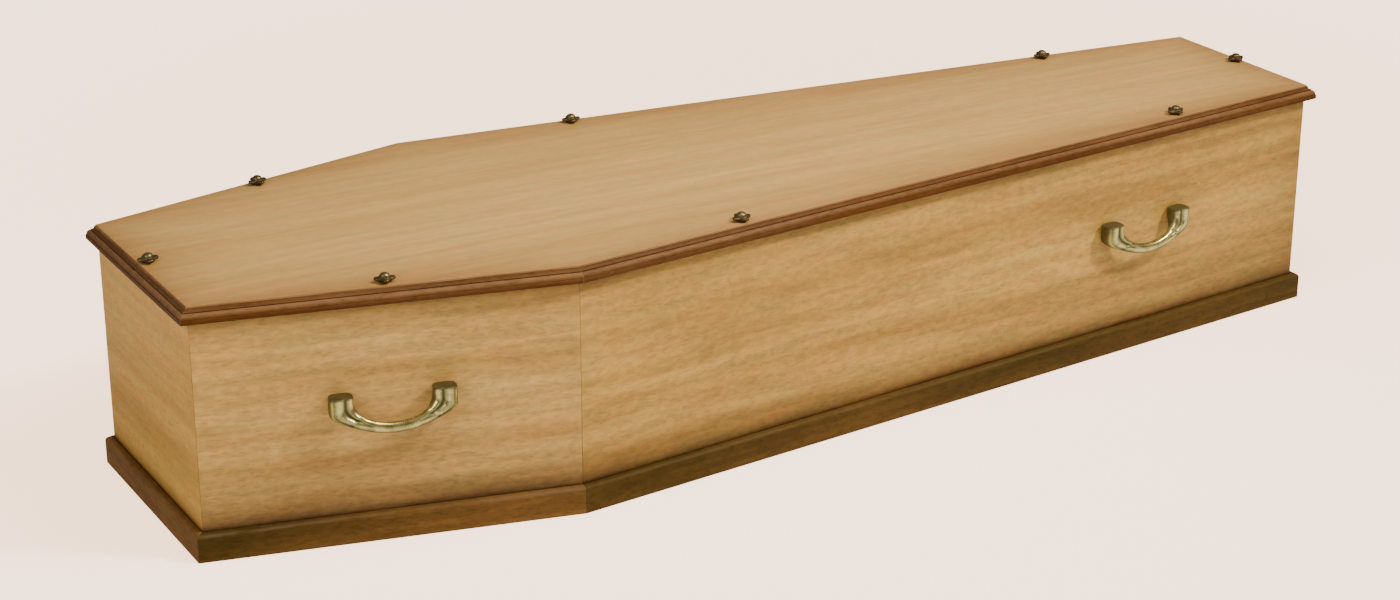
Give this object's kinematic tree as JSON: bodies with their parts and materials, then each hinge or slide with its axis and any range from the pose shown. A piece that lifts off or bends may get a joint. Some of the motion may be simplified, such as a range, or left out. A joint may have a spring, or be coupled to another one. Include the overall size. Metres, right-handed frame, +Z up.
{
  "type": "wooden coffin",
  "caption": "Tapered wooden coffin with shouldered sides, a plinth moulding, a flat lid with a moulded rim, lobed lid screws and fixed U-shaped handles.",
  "frame": {"origin": "middle of the underside, on the centre line, half way between the head and the foot", "axes": "+X from the head to the foot, +Y towards the left of the person who lies in it, +Z up"},
  "size_m": [1.944, 0.6282, 0.382],
  "materials": {
    "oak_wall": "satin lacquered oak veneer with darker shading above the plinth",
    "oak_lid": "satin lacquered oak veneer",
    "oak_base": "plain oak veneered board",
    "rim_wood": "moulded wood with mid brown stain and satin lacquer",
    "plinth_wood": "moulded wood with dark brown stain and satin lacquer",
    "handle_brass": "cast, antiqued and lacquered",
    "screw_bronze": "cast, darkened and worn bright on top"
  },
  "bodies": {
    "root": {"base_board": "oak_base", "head_board": "oak_wall", "foot_board": "oak_wall", "right_shoulder_board": "oak_wall", "right_side_board": "oak_wall", "left_shoulder_board": "oak_wall", "left_side_board": "oak_wall", "head_plinth": "plinth_wood", "foot_plinth": "plinth_wood", "right_shoulder_plinth": "plinth_wood", "right_side_plinth": "plinth_wood", "left_shoulder_plinth": "plinth_wood", "left_side_plinth": "plinth_wood", "lid_panel": "oak_lid", "head_lid_moulding": "rim_wood", "foot_lid_moulding": "rim_wood", "right_shoulder_lid_moulding": "rim_wood", "right_side_lid_moulding": "rim_wood", "left_shoulder_lid_moulding": "rim_wood", "left_side_lid_moulding": "rim_wood", "lid_screw_head": "screw_bronze", "lid_screw_foot": "screw_bronze", "lid_screw_right_shoulder": "screw_bronze", "lid_screw_left_shoulder": "screw_bronze", "lid_screw_right_upper": "screw_bronze", "lid_screw_right_lower": "screw_bronze", "lid_screw_left_upper": "screw_bronze", "lid_screw_left_lower": "screw_bronze", "handle_right_shoulder": "handle_brass", "handle_right_foot": "handle_brass", "handle_left_foot": "handle_brass", "handle_left_shoulder": "handle_brass"}
  },
  "joints": []
}
